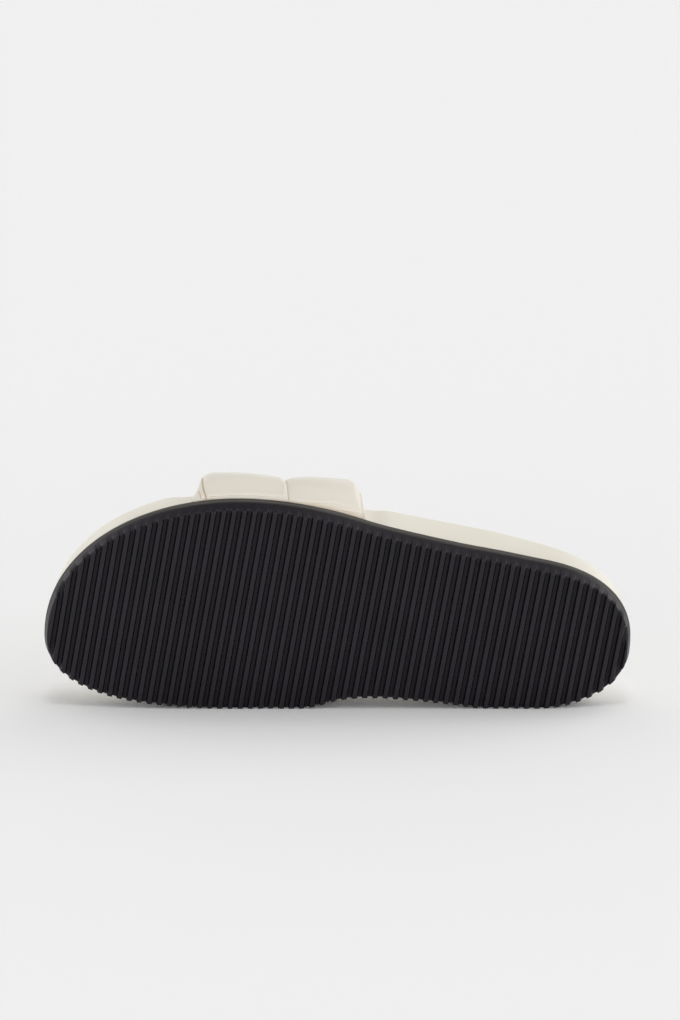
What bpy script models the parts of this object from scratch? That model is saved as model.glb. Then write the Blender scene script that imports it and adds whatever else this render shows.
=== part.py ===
"""Left slide sandal with a padded strap, lying on its medial side on the floor.

Every piece is modelled upright, in metres: +X to the heel, +Y to the medial side, +Z up, with the
tread's lands at z = 0. A station is a distance along the foot from the heel's tip. A parent empty then
turns the shoe and tips it onto its side, so that its sole's edge and its strap lie on z = 0.
"""

import math
from bisect import bisect_right
from collections import namedtuple

import bmesh
import bpy
from mathutils import Euler, Vector

MM = 0.001

# Driving sizes
SOLE_LENGTH = 256.4 * MM
OUTSOLE_THICK = 11.3 * MM
PIECE_GAP = 0.3 * MM
TOE_SPRING = 5.5 * MM
TOE_SPRING_START = 186 * MM
HEEL_LIFT = 4.6 * MM
HEEL_LIFT_END = 42 * MM

# Tread ribs
RIB_PITCH = 4.47 * MM
RIB_SKEW = math.radians(4.8)
RIB_PHASE = 0.87 * MM
GROOVE_MOUTH = 2.6 * MM
GROOVE_FLOOR = 1.7 * MM
GROOVE_DEPTH = 2.0 * MM

# Outline: both tips lie medial of the foot's axis, and the sides close on them as superellipses.
# Towards the heel a side keeps narrowing, by a slope
TOE_TIP_OFFSET = 15.7 * MM
TOE_POWER = {"medial": 2.56, "lateral": 2.05}
HEEL_TIP_OFFSET = 6.9 * MM
HEEL_POWER = {"medial": 2.08, "lateral": 2.59}
HEEL_NARROWING = {"medial": 0.0, "lateral": 0.14}

# Footbed rim and bed, insole
RIM_ROUND = 4.5 * MM
RIM_INNER_DROP = 1.1 * MM
RIM_INNER_REACH = 8.1 * MM
WALL_LEAN = 0.6 * MM
BED_DISH_POWER = 2.6
INSOLE_THICK = 1.4 * MM

# Strap, seated in a shallow recess of the footbed's wall
STRAP_SEAT_GAP = 0.4 * MM
STRAP_RECESS = 1.6 * MM
STRAP_RECESS_FADE = 9 * MM
STRAP_RECESS_MARGIN = 1.8 * MM
STRAP_MEDIAL_ADVANCE = 5 * MM
STRAP_EDGE_THICK = 3.0 * MM
STRAP_PAD_THICK = 9.5 * MM
STRAP_PAD_RISE = 28 * MM
STRAP_STRAIGHT_START = 12 * MM
STRAP_STRAIGHT_RISE = 22 * MM
ARCH_POWER = {"medial": 2.7, "lateral": 2.18}

# How the shoe lies: turned about its upright axis, tipped over, and pressed a little where it rests
LIE_TURN = math.radians(4.6)
LIE_TIP = math.radians(82)
FLOOR_PRESS = 0.3 * MM

# Mesh fineness
OUTLINE_STEPS = 60
BED_SHARES = (0.0, 0.05, 0.15, 0.3, 0.5, 0.7, 0.85, 0.95, 1.0)
STRAP_ARCH_STEPS = 36
PUFF_STEPS = 6

# Tables, in millimetres: offsets are measured from the foot's axis, heights from the outsole's top
EdgeRow = namedtuple("EdgeRow", "station offset")
EDGES = {
    "medial": [
        EdgeRow(46, 34.8),
        EdgeRow(62, 36.0),
        EdgeRow(78, 35.1),
        EdgeRow(95, 34.6),
        EdgeRow(110, 34.8),
        EdgeRow(124, 36.8),
        EdgeRow(139, 42.0),
        EdgeRow(154, 43.4),
        EdgeRow(178, 45.5),
        EdgeRow(198, 46.0),
    ],
    "lateral": [
        EdgeRow(42, 34.0),
        EdgeRow(62, 36.9),
        EdgeRow(78, 38.9),
        EdgeRow(110, 44.4),
        EdgeRow(139, 50.9),
        EdgeRow(166, 53.2),
    ],
}

SideRow = namedtuple("SideRow", "height offset")
OUTSOLE_SIDE = [
    SideRow(0.0, -1.5),
    SideRow(0.5, -0.5),
    SideRow(1.6, 0.05),
    SideRow(7.6, 0.9),
    SideRow(8.1, 0.3),
    SideRow(8.7, 1.2),
    SideRow(11.3, 1.2),
]

RimRow = namedtuple("RimRow", "station medial lateral bed")
RIM = [
    RimRow(0, 17.0, 17.0, 12.5),
    RimRow(25, 18.5, 18.5, 11.5),
    RimRow(52, 22.0, 22.5, 12.5),
    RimRow(75, 24.5, 24.0, 13.5),
    RimRow(95, 26.0, 23.0, 13.0),
    RimRow(112, 24.0, 21.5, 11.5),
    RimRow(126, 20.0, 19.0, 10.0),
    RimRow(148, 16.0, 16.0, 8.5),
    RimRow(195, 15.0, 15.5, 7.5),
    RimRow(215, 15.5, 16.0, 7.5),
    RimRow(236, 17.0, 17.0, 8.0),
    RimRow(256, 17.0, 17.0, 9.5),
]

# Strap edges and sewn lines, by the share of the arch from a base (0) to the crown (1)
StrapRow = namedtuple("StrapRow", "station front front_seam seam rear_seam rear")
STRAP_LINES = [
    StrapRow(0.0, 197.5, 191.1, 155.0, 122.0, 119.9),
    StrapRow(0.1, 195.4, 192.1, 155.3, 122.3, 121.1),
    StrapRow(0.25, 193.3, 192.3, 156.0, 122.3, 121.2),
    StrapRow(0.45, 192.4, 191.2, 156.5, 123.6, 122.2),
    StrapRow(1.0, 189.6, 187.8, 157.0, 128.0, 126.2),
]

# How full the front and rear channels are, by the share across each from front to rear
PuffRow = namedtuple("PuffRow", "station front rear")
STRAP_PUFF = [
    PuffRow(0.0, 0.75, 0.5),
    PuffRow(0.03, 0.86, 0.62),
    PuffRow(0.07, 0.97, 0.74),
    PuffRow(0.12, 1.03, 0.82),
    PuffRow(0.3, 1.01, 0.95),
    PuffRow(0.5, 0.98, 1.0),
    PuffRow(0.64, 0.92, 1.0),
    PuffRow(0.76, 0.84, 0.96),
    PuffRow(0.86, 0.79, 0.93),
    PuffRow(0.93, 0.75, 0.82),
    PuffRow(0.975, 0.64, 0.55),
    PuffRow(1.0, 0.5, 0.2),
]

# Inside height of the strap over the outsole's top, by station
CrownRow = namedtuple("CrownRow", "station height")
STRAP_CROWN = [
    CrownRow(120, 63.0),
    CrownRow(158, 54.5),
    CrownRow(200, 45.0),
]


def smooth_value(rows, column, at, first_slope=0.0):
    """Value of a column at a place, on a smooth curve through the rows, level at its last one."""
    places = [row.station for row in rows]
    values = [getattr(row, column) for row in rows]
    if at <= places[0]:
        return values[0]
    if at >= places[-1]:
        return values[-1]

    def slope(k):
        if k == 0:
            return first_slope
        if k == len(rows) - 1:
            return 0.0
        return (values[k + 1] - values[k - 1]) / (places[k + 1] - places[k - 1])

    i = bisect_right(places, at) - 1
    step = places[i + 1] - places[i]
    t = (at - places[i]) / step
    bend_in = slope(i) * step
    bend_out = slope(i + 1) * step
    return (
        values[i] * (1 + 2 * t) * (1 - t) ** 2
        + bend_in * t * (1 - t) ** 2
        + values[i + 1] * t * t * (3 - 2 * t)
        + bend_out * t * t * (t - 1)
    )


def read_table(rows, column, station):
    """As smooth_value, with the station and the value in metres."""
    return smooth_value(rows, column, station / MM) * MM


def smoothstep(t):
    t = min(max(t, 0.0), 1.0)
    return t * t * (3 - 2 * t)


def edge(side, station):
    """Distance from the foot's axis to the tread's edge, with an elliptical heel and toe."""
    rows = EDGES[side]
    sign = 1 if side == "medial" else -1
    first = rows[0].station * MM
    last = rows[-1].station * MM
    slope = HEEL_NARROWING[side]
    if station < first:
        width = rows[0].offset * MM - slope * (first - station)
        tip, power = sign * HEEL_TIP_OFFSET, HEEL_POWER[side]
        share = (first - station) / first
    elif station > last:
        width = rows[-1].offset * MM
        tip, power = sign * TOE_TIP_OFFSET, TOE_POWER[side]
        share = (station - last) / (SOLE_LENGTH - last)
    else:
        return smooth_value(rows, "offset", station / MM, slope) * MM
    return tip + (width - tip) * (1 - min(1.0, share) ** power) ** (1 / power)


def plan_point(side, station):
    """Upright x and y of the tread's edge."""
    sign = 1 if side == "medial" else -1
    return Vector((SOLE_LENGTH / 2 - station, sign * edge(side, station)))


def rib_coordinate(x, y):
    """Distance square to the ribs, counted from the sole's middle towards the toe."""
    return -x * math.cos(RIB_SKEW) - y * math.sin(RIB_SKEW)


def tread_lift(x, y):
    """How far the tread curves up at the toe and the heel, on bend lines that follow the ribs."""
    station = rib_coordinate(x, y) + SOLE_LENGTH / 2
    toe = max(0.0, (station - TOE_SPRING_START) / (SOLE_LENGTH - TOE_SPRING_START))
    heel = max(0.0, (HEEL_LIFT_END - station) / HEEL_LIFT_END)
    return TOE_SPRING * toe**2 + HEEL_LIFT * heel**2


def outline_stations():
    """Stations from heel to toe, close together at both tips."""
    turns = [math.pi * i / OUTLINE_STEPS for i in range(OUTLINE_STEPS + 1)]
    return [SOLE_LENGTH * (1 - math.cos(turn)) / 2 for turn in turns]


def outline_ring():
    """The outline as (side, station, point, outward direction), heel to toe laterally and back medially."""
    stations = outline_stations()
    inner = stations[1:-1]
    places = [("lateral", s) for s in stations]
    places += [("medial", s) for s in reversed(inner)]
    points = [plan_point(side, station) for side, station in places]
    ring = []
    for i, (side, station) in enumerate(places):
        along = points[(i + 1) % len(points)] - points[i - 1]
        outward = Vector((-along.y, along.x)).normalized()
        ring.append((side, station, points[i], outward))
    return ring


def ring_pairs(row):
    """Lateral and medial vertex of each station between the two tips of a ring."""
    count = len(row)
    return [(row[i], row[count - i]) for i in range(1, OUTLINE_STEPS)]


def join_rings(bm, rows):
    """Side walls between rings of vertices."""
    for low, high in zip(rows, rows[1:]):
        for i in range(len(low)):
            j = (i + 1) % len(low)
            bm.faces.new((low[i], low[j], high[j], high[i]))


def close_ring(bm, row, height_of, shares=(0.0, 1.0)):
    """Fills a ring with strips across the sole. height_of(pair, share, place) gives inner points' z."""
    strips = []
    columns = len(shares) - 1
    for k, (lateral, medial) in enumerate(ring_pairs(row)):
        strip = [lateral]
        for share in shares[1:-1]:
            place = lateral.co.lerp(medial.co, share)
            place.z = height_of(k, share, place)
            strip.append(bm.verts.new(place))
        strip.append(medial)
        strips.append(strip)
    for near, far in zip(strips, strips[1:]):
        for c in range(columns):
            bm.faces.new((near[c], near[c + 1], far[c + 1], far[c]))
    heel_tip, toe_tip = row[0], row[OUTLINE_STEPS]
    for c in range(columns):
        bm.faces.new((heel_tip, strips[0][c], strips[0][c + 1]))
        bm.faces.new((toe_tip, strips[-1][c + 1], strips[-1][c]))
    return strips


def make_material(name, colour, roughness):
    material = bpy.data.materials.new(name)
    material.use_nodes = True
    shader = material.node_tree.nodes["Principled BSDF"]
    shader.inputs["Base Color"].default_value = (*colour, 1.0)
    shader.inputs["Roughness"].default_value = roughness
    shader.inputs["Metallic"].default_value = 0.0
    return material


def make_object(bm, name, collection, material=None):
    """A mesh object from a closed bmesh, with its faces turned outwards."""
    bmesh.ops.recalc_face_normals(bm, faces=bm.faces)
    mesh = bpy.data.meshes.new(name)
    bm.to_mesh(mesh)
    bm.free()
    mesh.shade_smooth()
    mesh.set_sharp_from_angle(angle=math.radians(35))
    if material:
        mesh.materials.append(material)
    made = bpy.data.objects.new(name, mesh)
    collection.objects.link(made)
    return made


def lying_turn():
    """Rotation from upright to lying: a small turn about +Z, then the tip onto the medial side."""
    return Euler((-LIE_TIP, 0.0, LIE_TURN), "ZYX").to_matrix()


def press_on_floor(bm, floor_level):
    """Flattens what would lie under the floor, as soft rubber and padding do."""
    turn = lying_turn()
    back = turn.transposed()
    for vert in bm.verts:
        lying = turn @ vert.co
        if lying.z < floor_level:
            lying.z = floor_level
            vert.co = back @ lying


def outsole_body():
    """The sole block: stacked outlines up its side, with the tread curved up at both ends."""
    bm = bmesh.new()
    ring = outline_ring()
    rows = []
    for side_row in OUTSOLE_SIDE:
        row = []
        for _, _, point, outward in ring:
            place = point + outward * side_row.offset * MM
            height = side_row.height * MM
            lift = tread_lift(place.x, place.y) * (1 - height / OUTSOLE_THICK)
            row.append(bm.verts.new((place.x, place.y, height + lift)))
        rows.append(row)
    join_rings(bm, rows)
    close_ring(bm, rows[0], lambda k, share, place: tread_lift(place.x, place.y), (0.0, 0.5, 1.0))
    close_ring(bm, rows[-1], lambda k, share, place: place.z)
    return bm


def groove_cutters(collection):
    """One tapered bar for each groove between two ribs, longer than the sole is wide."""
    bm = bmesh.new()
    half_count = int(SOLE_LENGTH / RIB_PITCH / 2) + 1
    reach = 0.08
    overcut = 6 * MM
    across = Vector((-math.sin(RIB_SKEW), math.cos(RIB_SKEW), 0.0))
    ahead = Vector((-math.cos(RIB_SKEW), -math.sin(RIB_SKEW), 0.0))
    flare = (GROOVE_MOUTH - GROOVE_FLOOR) / 2 / GROOVE_DEPTH
    for i in range(-half_count, half_count):
        centre = ahead * (RIB_PHASE + (i + 0.5) * RIB_PITCH)
        floor_z = tread_lift(centre.x, centre.y) + GROOVE_DEPTH
        bar = bmesh.ops.create_cube(bm, size=2.0)["verts"]
        for vert in bar:
            half = GROOVE_FLOOR / 2
            z = floor_z
            if vert.co.z < 0:
                z = floor_z - GROOVE_DEPTH - overcut
                half += flare * (GROOVE_DEPTH + overcut)
            vert.co = centre + ahead * (vert.co.x * half) + across * (vert.co.y * reach)
            vert.co.z = z
    cutter = make_object(bm, "groove_cutters", collection)
    cutter.hide_render = True
    cutter.display_type = "WIRE"
    return cutter


def bed_height(station, rim_inner, share):
    """Height of the foot's bed at a share of the way from the axis (0) to the rim's inner foot (1)."""
    low = OUTSOLE_THICK + read_table(RIM, "bed", station)
    return low + (rim_inner - low) * share**BED_DISH_POWER


def rim_height(side, station):
    return OUTSOLE_THICK + read_table(RIM, side, station)


def strap_recess(side, station):
    """How far the footbed's wall is drawn in under the strap, fading out past both strap edges."""
    advance = STRAP_MEDIAL_ADVANCE if side == "medial" else 0.0
    past_rear = STRAP_LINES[0].rear * MM + advance - station
    past_front = station - STRAP_LINES[0].front * MM - advance
    fade = (max(past_rear, past_front) - STRAP_RECESS_MARGIN) / STRAP_RECESS_FADE
    return STRAP_RECESS * (1 - smoothstep(fade))


def footbed_body():
    """The moulded bed: a wall, a rounded rim and a dished top. Returns it and its top strips' points."""
    bm = bmesh.new()
    ring = outline_ring()
    bottom = OUTSOLE_THICK + PIECE_GAP
    round_in = RIM_ROUND * (1 - math.cos(math.radians(45)))
    profile = [
        lambda rim: (bottom, 0.0),
        lambda rim: (rim - RIM_ROUND, WALL_LEAN),
        lambda rim: (rim - round_in, WALL_LEAN + round_in),
        lambda rim: (rim, WALL_LEAN + RIM_ROUND),
        lambda rim: (rim - RIM_INNER_DROP, WALL_LEAN + RIM_INNER_REACH),
    ]
    rows = []
    for place_of in profile:
        row = []
        for side, station, point, outward in ring:
            height, inset = place_of(rim_height(side, station))
            place = point - outward * (inset + strap_recess(side, station))
            row.append(bm.verts.new((place.x, place.y, height)))
        rows.append(row)
    join_rings(bm, rows)
    stations = outline_stations()
    pairs = ring_pairs(rows[-1])

    def dished(k, share, place):
        lateral, medial = pairs[k]
        inner = lateral.co.z if share < 0.5 else medial.co.z
        return bed_height(stations[k + 1], inner, abs(2 * share - 1))

    strips = close_ring(bm, rows[-1], dished, BED_SHARES)
    close_ring(bm, rows[0], lambda k, share, place: bottom)
    top = [[vert.co.copy() for vert in strip] for strip in strips]
    return bm, top


def sheet_body(under, over):
    """A closed sheet between two grids of points of the same size."""
    bm = bmesh.new()
    grids = [[[bm.verts.new(place) for place in line] for line in grid] for grid in (under, over)]
    for grid in grids:
        for near, far in zip(grid, grid[1:]):
            for c in range(len(near) - 1):
                bm.faces.new((near[c], near[c + 1], far[c + 1], far[c]))
    low, high = grids
    border = [(0, c) for c in range(len(low[0]))]
    border += [(r, len(low[0]) - 1) for r in range(1, len(low))]
    border += [(len(low) - 1, c) for c in range(len(low[0]) - 2, -1, -1)]
    border += [(r, 0) for r in range(len(low) - 2, 0, -1)]
    for (r, c), (r2, c2) in zip(border, border[1:] + border[:1]):
        bm.faces.new((low[r][c], low[r2][c2], high[r2][c2], high[r][c]))
    return bm


def insole_body(bed_top):
    """The sock: the bed's own strips without their rim columns, lifted clear of the bed."""
    strips = [strip[1:-1] for strip in bed_top[1:-1]]
    low = Vector((0, 0, PIECE_GAP))
    high = Vector((0, 0, PIECE_GAP + INSOLE_THICK))
    under = [[place + low for place in strip] for strip in strips]
    over = [[place + high for place in strip] for strip in strips]
    return sheet_body(under, over)


def strap_columns(rise):
    """Stations across the strap from its front edge to its rear edge, each with its puff (0 to 1)."""
    lines = [smooth_value(STRAP_LINES, name, rise) * MM for name in StrapRow._fields[1:]]
    front_hem = STRAP_PUFF[0].front
    rear_hem = STRAP_PUFF[-1].rear
    columns = [(lines[0], front_hem)]
    for channel, start, end in zip(PuffRow._fields[1:], lines[1:], lines[2:]):
        for i in range(PUFF_STEPS):
            share = (1 - math.cos(math.pi * i / PUFF_STEPS)) / 2
            puff = smooth_value(STRAP_PUFF, channel, share)
            columns.append((start + (end - start) * share, puff))
    columns += [(lines[-2], rear_hem), (lines[-1], rear_hem)]
    return columns


def strap_chord(side, station):
    """Offset on the straight line between the outline's points at the strap's rear and front."""
    advance = STRAP_MEDIAL_ADVANCE if side == "medial" else 0.0
    rear = STRAP_LINES[0].rear * MM + advance
    front = STRAP_LINES[0].front * MM + advance
    share = (station - rear) / (front - rear)
    return edge(side, rear) * (1 - share) + edge(side, front) * share


def strap_arch(side, station, rise):
    """Inside point and outward direction of the strap's arch; rise is 0 at the base and 1 at the crown."""
    sign = 1 if side == "medial" else -1
    height = read_table(STRAP_CROWN, "height", station)
    power = ARCH_POWER[side]
    angle = rise * math.pi / 2
    out = max(0.0, math.cos(angle)) ** (2 / power)
    up = math.sin(angle) ** (2 / power)
    straight = smoothstep((height * up - STRAP_STRAIGHT_START) / STRAP_STRAIGHT_RISE)
    along = edge(side, station)
    width = along + (strap_chord(side, station) - along) * straight - STRAP_RECESS + STRAP_SEAT_GAP
    base = OUTSOLE_THICK + PIECE_GAP
    place = Vector((SOLE_LENGTH / 2 - station, sign * width * out, base + height * up))
    outward = Vector((0.0, sign * out ** (power - 1) / width, up ** (power - 1) / height))
    return place, outward.normalized()


def strap_body():
    """The padded strap: an arch of its wall's own thickness, puffed between the sewn lines."""
    inner = []
    outer = []
    for j in range(STRAP_ARCH_STEPS + 1):
        way = j / STRAP_ARCH_STEPS
        side = "lateral" if way <= 0.5 else "medial"
        rise = 1 - abs(2 * way - 1)
        advance = STRAP_MEDIAL_ADVANCE * way
        inner_line = []
        outer_line = []
        for station, puff in strap_columns(rise):
            place, outward = strap_arch(side, station + advance, rise)
            climb = place.z - OUTSOLE_THICK
            pad = (STRAP_PAD_THICK - STRAP_EDGE_THICK) * smoothstep(climb / STRAP_PAD_RISE)
            inner_line.append(place)
            outer_line.append(place + outward * (STRAP_EDGE_THICK + pad * puff))
        inner.append(inner_line)
        outer.append(outer_line)
    return sheet_body(inner, outer)


def lay_down(pieces, floor_level, collection):
    """Parents the pieces to an empty that lays them on the floor, with the box's middle over the origin."""
    turn = lying_turn()
    lying = [turn @ vert.co for piece in pieces for vert in piece.data.vertices]
    middle_x = (min(p.x for p in lying) + max(p.x for p in lying)) / 2
    middle_y = (min(p.y for p in lying) + max(p.y for p in lying)) / 2
    empty = bpy.data.objects.new("lying_pose", None)
    collection.objects.link(empty)
    empty.rotation_mode = "ZYX"
    empty.rotation_euler = (-LIE_TIP, 0.0, LIE_TURN)
    empty.location = (-middle_x, -middle_y, -floor_level)
    for piece in pieces:
        piece.parent = empty
    return empty


def main():
    for old in list(bpy.data.objects):
        bpy.data.objects.remove(old)
    parts = bpy.data.collections.new("slide_sandal")
    cutters = bpy.data.collections.new("cutters")
    for collection in (parts, cutters):
        bpy.context.scene.collection.children.link(collection)

    black = make_material("black_rubber", (0.030, 0.030, 0.033), 0.55)
    cream = make_material("cream_wrap", (0.78, 0.74, 0.65), 0.5)
    padded = make_material("cream_padding", (0.77, 0.72, 0.63), 0.45)
    lining = make_material("cream_sock", (0.74, 0.69, 0.60), 0.6)

    sole = outsole_body()
    turn = lying_turn()
    floor_level = min((turn @ vert.co).z for vert in sole.verts) + FLOOR_PRESS
    press_on_floor(sole, floor_level)
    bed, bed_top = footbed_body()
    strap = strap_body()
    press_on_floor(strap, floor_level)

    outsole = make_object(sole, "outsole", parts, black)
    footbed = make_object(bed, "footbed", parts, cream)
    insole = make_object(insole_body(bed_top), "insole", parts, lining)
    upper = make_object(strap, "upper_strap", parts, padded)

    grooves = groove_cutters(cutters)
    cut = outsole.modifiers.new("cut_grooves", "BOOLEAN")
    cut.operation = "DIFFERENCE"
    cut.object = grooves

    empty = lay_down([outsole, footbed, insole, upper], floor_level, parts)
    grooves.parent = empty


main()
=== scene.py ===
"""Looks of a left slide sandal with a padded strap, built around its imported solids.

Every piece is shaped upright, in metres, by the rules of the solids: +X to the heel, +Y to the medial
side, +Z up, with the tread's lands at z = 0. A station is a distance along the foot from the heel's tip.
The pieces are then laid on the medial side, where the solids lie.
"""

import math
from collections import namedtuple

import bmesh
import bpy
import numpy as np
from mathutils import Euler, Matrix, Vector, noise
from mathutils.bvhtree import BVHTree


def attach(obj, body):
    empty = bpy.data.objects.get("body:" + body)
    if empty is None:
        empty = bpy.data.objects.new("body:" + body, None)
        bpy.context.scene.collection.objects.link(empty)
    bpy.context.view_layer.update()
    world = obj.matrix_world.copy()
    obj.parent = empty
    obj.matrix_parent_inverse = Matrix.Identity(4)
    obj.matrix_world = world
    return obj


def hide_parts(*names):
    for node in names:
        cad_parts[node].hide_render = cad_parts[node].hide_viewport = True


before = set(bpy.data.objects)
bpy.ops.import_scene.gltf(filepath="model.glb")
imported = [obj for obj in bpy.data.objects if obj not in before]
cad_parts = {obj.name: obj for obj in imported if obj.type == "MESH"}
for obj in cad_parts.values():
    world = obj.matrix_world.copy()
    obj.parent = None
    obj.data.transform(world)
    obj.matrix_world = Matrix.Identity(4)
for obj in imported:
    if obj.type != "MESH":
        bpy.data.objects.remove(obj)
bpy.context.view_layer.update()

MM = 0.001

# Sole
SOLE_LENGTH = 256.4 * MM
OUTSOLE_THICK = 11.3 * MM
PIECE_GAP = 0.3 * MM
TOE_SPRING = 5.5 * MM
TOE_SPRING_START = 186 * MM
HEEL_LIFT = 4.6 * MM
HEEL_LIFT_END = 42 * MM

# Tread ribs, with rounded corners. The open ends of the grooves fade out up the side, at the notch height
RIB_PITCH = 4.47 * MM
RIB_SKEW = math.radians(4.8)
RIB_PHASE = 0.87 * MM
GROOVE_MOUTH = 2.6 * MM
GROOVE_FLOOR = 1.7 * MM
GROOVE_DEPTH = 2.0 * MM
# Tread faces deeper than this take a darker, duller finish: painted shade in the grooves
GROOVE_SHADE_START = 0.4 * MM
RIB_CORNER = 0.32 * MM
NOTCH_HEIGHT = 5.0 * MM

# Outline: both tips lie medial of the foot's axis, and the sides close on them as superellipses.
# Towards the heel a side keeps narrowing, by a slope
SIGN = {"medial": 1, "lateral": -1}
TOE_TIP_OFFSET = 15.7 * MM
TOE_POWER = {"medial": 2.56, "lateral": 2.05}
HEEL_TIP_OFFSET = 6.9 * MM
HEEL_POWER = {"medial": 2.08, "lateral": 2.59}
HEEL_NARROWING = {"medial": 0.0, "lateral": 0.14}

# Footbed, its wrap and the sock laid in it
RIM_ROUND = 4.5 * MM
RIM_INNER_DROP = 1.1 * MM
RIM_INNER_REACH = 8.1 * MM
WALL_LEAN = 0.6 * MM
WALL_BULGE = 0.25 * MM
BED_DISH_POWER = 2.6
BED_DISH_REACH = 22 * MM
WRAP_WAVE = 0.14 * MM
WRAP_WAVE_LENGTH = 26 * MM
WRAP_WAVE_RISE = 6 * MM
SOCK_MARGIN = 3.2 * MM
SOCK_DROP_HEIGHT = 100 * MM

# Strap
STRAP_SEAT_GAP = 0.4 * MM
STRAP_RECESS = 1.6 * MM
STRAP_RECESS_FADE = 9 * MM
STRAP_RECESS_MARGIN = 1.8 * MM
STRAP_MEDIAL_ADVANCE = 5 * MM
STRAP_EDGE_THICK = 3.0 * MM
STRAP_PAD_THICK = 9.5 * MM
STRAP_PAD_RISE = 28 * MM
STRAP_STRAIGHT_START = 12 * MM
STRAP_STRAIGHT_RISE = 22 * MM
ARCH_POWER = {"medial": 2.7, "lateral": 2.18}

# The strap's rounded edges: a share of half its thickness, and the most of a hem that a round may take
STRAP_ROUND = 1.1
STRAP_FRONT_ROUND_MOST = 0.9
STRAP_REAR_ROUND_MOST = 0.5

# How the shoe lies in the frame
LIE_TURN = math.radians(4.6)
LIE_TIP = math.radians(82)
LIE_PLACE = Vector((0.843, -36.818, 40.829)) * MM

# Mesh fineness of the outsole. A tie step keeps equal rib coordinates in order
DENSE_STEPS = 1200
CORNER_STEPS = 4
COLUMN_STEP = 1.6 * MM
COLUMN_MARGIN = 0.02 * MM
COLUMN_DIGITS = 7
TIE_STEP = 1e-10
TREAD_SHARES = (0.0, 0.02, 0.25, 0.5, 0.75, 0.98, 1.0)

# Mesh fineness of the footbed and the sock
OUTLINE_STEPS = 200
WALL_STEPS = 8
RIM_STEPS = 8
RIM_INNER_STEPS = 4
BED_STEPS = 40
SOCK_STEPS = 28

# Mesh fineness of the strap, across it and along its arch, which is finer near the bases
HEM_STEPS = 24
PUFF_STEPS = 44
REAR_STEPS = 4
EDGE_STEPS = 10
LINING_STEPS = 48
ARCH_DENSE_STEPS = 4000
ARCH_STEP = 1.0 * MM
BASE_STEP = 0.4 * MM
BASE_REACH = 9 * MM

# Finishes of a piece, by their place in its list of materials
MAIN_FINISH = 0
# The lip's finish is a lighter warm tone: a painted highlight along the lip
LIP_HIGHLIGHT_FINISH = 1
# The grooves' finish is a darker, duller tone: painted shade in the grooves
GROOVE_SHADE_FINISH = 2
LINING_FINISH = 1

# Tables, in millimetres: offsets are measured from the foot's axis, and heights from the outsole's top
# where a table doesn't say otherwise
EdgeRow = namedtuple("EdgeRow", "station offset")
EDGES = {
    "medial": [
        EdgeRow(46, 34.8),
        EdgeRow(62, 36.0),
        EdgeRow(78, 35.1),
        EdgeRow(95, 34.6),
        EdgeRow(110, 34.8),
        EdgeRow(124, 36.8),
        EdgeRow(139, 42.0),
        EdgeRow(154, 43.4),
        EdgeRow(178, 45.5),
        EdgeRow(198, 46.0),
    ],
    "lateral": [
        EdgeRow(42, 34.0),
        EdgeRow(62, 36.9),
        EdgeRow(78, 38.9),
        EdgeRow(110, 44.4),
        EdgeRow(139, 50.9),
        EdgeRow(166, 53.2),
    ],
}

# The outsole's side, from the tread up: a rounded edge, a smooth band, a fine line and a rounded lip, which
# has its own lighter finish from its start, a painted highlight. Offsets are measured from the tread's
# outline
SideRow = namedtuple("SideRow", "height offset")
OUTSOLE_SIDE = [
    SideRow(0.0, -0.75),
    SideRow(0.07, -0.4),
    SideRow(0.25, -0.13),
    SideRow(0.55, 0.0),
    SideRow(1.1, 0.09),
    SideRow(1.85, 0.17),
    SideRow(3.4, 0.38),
    SideRow(5.6, 0.66),
    SideRow(7.2, 0.86),
    SideRow(7.55, 0.84),
    SideRow(7.8, 0.6),
    SideRow(8.1, 0.3),
    SideRow(8.3, 0.42),
    SideRow(8.46, 0.72),
    SideRow(8.72, 0.98),
    SideRow(9.1, 1.16),
    SideRow(9.6, 1.25),
    SideRow(10.1, 1.27),
    SideRow(10.6, 1.2),
    SideRow(10.98, 1.04),
    SideRow(11.2, 0.82),
    SideRow(11.3, 0.55),
]
LIP_START = 8.2

# Two sections, from the underside up: the footbed's tucked lower edge, and the sock's rounded edge
SectionRow = namedtuple("SectionRow", "height inset")
FOOTBED_TUCK = [
    SectionRow(0.0, 0.9),
    SectionRow(0.1, 0.45),
    SectionRow(0.4, 0.12),
    SectionRow(0.9, 0.0),
]
SOCK_EDGE = [
    SectionRow(0.0, 0.5),
    SectionRow(0.15, 0.1),
    SectionRow(0.6, 0.0),
    SectionRow(1.05, 0.1),
    SectionRow(1.3, 0.45),
    SectionRow(1.4, 1.0),
]

# Heights of the footbed's rim on both sides, and of the bed's middle
RimRow = namedtuple("RimRow", "station medial lateral bed")
RIM = [
    RimRow(0, 17.0, 17.0, 12.5),
    RimRow(25, 18.5, 18.5, 11.5),
    RimRow(52, 22.0, 22.5, 12.5),
    RimRow(75, 24.5, 24.0, 13.5),
    RimRow(95, 26.0, 23.0, 13.0),
    RimRow(112, 24.0, 21.5, 11.5),
    RimRow(126, 20.0, 19.0, 10.0),
    RimRow(148, 16.0, 16.0, 8.5),
    RimRow(195, 15.0, 15.5, 7.5),
    RimRow(215, 15.5, 16.0, 7.5),
    RimRow(236, 17.0, 17.0, 8.0),
    RimRow(256, 17.0, 17.0, 9.5),
]

# Strap edges and sewn lines, by the share of the arch from a base (0) to the crown (1)
StrapRow = namedtuple("StrapRow", "station front front_seam seam rear_seam rear")
STRAP_LINES = [
    StrapRow(0.0, 197.5, 191.1, 155.0, 122.0, 119.9),
    StrapRow(0.1, 195.4, 192.1, 155.3, 122.3, 121.1),
    StrapRow(0.25, 193.3, 192.3, 156.0, 122.3, 121.2),
    StrapRow(0.45, 192.4, 191.2, 156.5, 123.6, 122.2),
    StrapRow(1.0, 189.6, 187.8, 157.0, 128.0, 126.2),
]

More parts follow.
